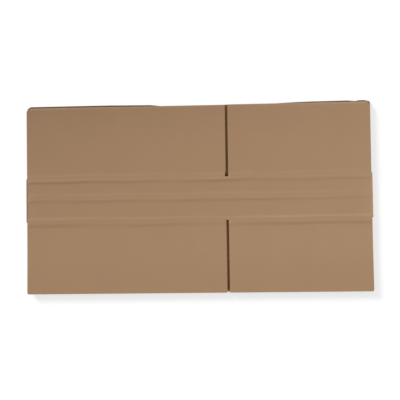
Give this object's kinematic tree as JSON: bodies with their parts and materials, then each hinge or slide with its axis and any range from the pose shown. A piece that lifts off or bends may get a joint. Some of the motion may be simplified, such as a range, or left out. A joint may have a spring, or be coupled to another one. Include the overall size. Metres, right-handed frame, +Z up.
{
  "type": "flattened cardboard box",
  "caption": "Slotted shipping carton of corrugated kraft board, folded flat with its corner glued, its scored flaps lying straight and open slots between them.",
  "frame": {"origin": "middle of the flat carton's box, on the surface that it lies on", "axes": "+X across the folded tube towards the short front panel, +Y along the flutes towards the top flaps, +Z up from the surface"},
  "size_m": [0.526, 0.2874, 0.008],
  "materials": {
    "kraft_board": "matt brown kraft liner, lightly mottled"
  },
  "bodies": {
    "root": {"folded_carton": "kraft_board"}
  },
  "joints": []
}
